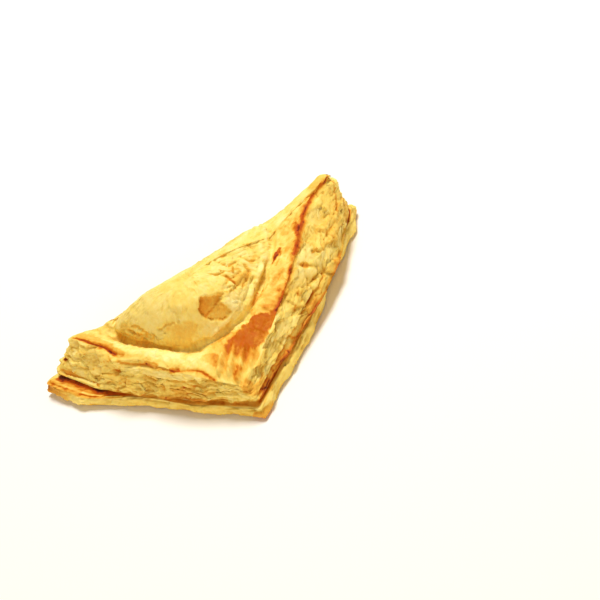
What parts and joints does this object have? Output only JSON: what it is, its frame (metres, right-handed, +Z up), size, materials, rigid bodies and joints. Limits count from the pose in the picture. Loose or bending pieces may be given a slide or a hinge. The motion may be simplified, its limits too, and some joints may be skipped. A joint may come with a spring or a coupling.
{
  "type": "chicken puff pastry turnover",
  "caption": "Triangular baked puff-pastry turnover: a square of layered dough folded corner to corner over a filling, with flaky walls and a domed top.",
  "frame": {"origin": "centre of the bounding box's bottom, on the plane of the flat underside", "axes": "+X along the fold at the back, from the left corner to the right corner; +Y from the square corner at the front towards the fold; +Z up, from the flat underside to the domed top"},
  "size_m": [0.1412, 0.0768, 0.0368],
  "materials": {
    "baked_crust": "baked puff pastry, golden and slightly glossy on top, matt in the layered walls, browned along rims and seam"
  },
  "bodies": {
    "root": {"turnover": "baked_crust"}
  },
  "joints": []
}
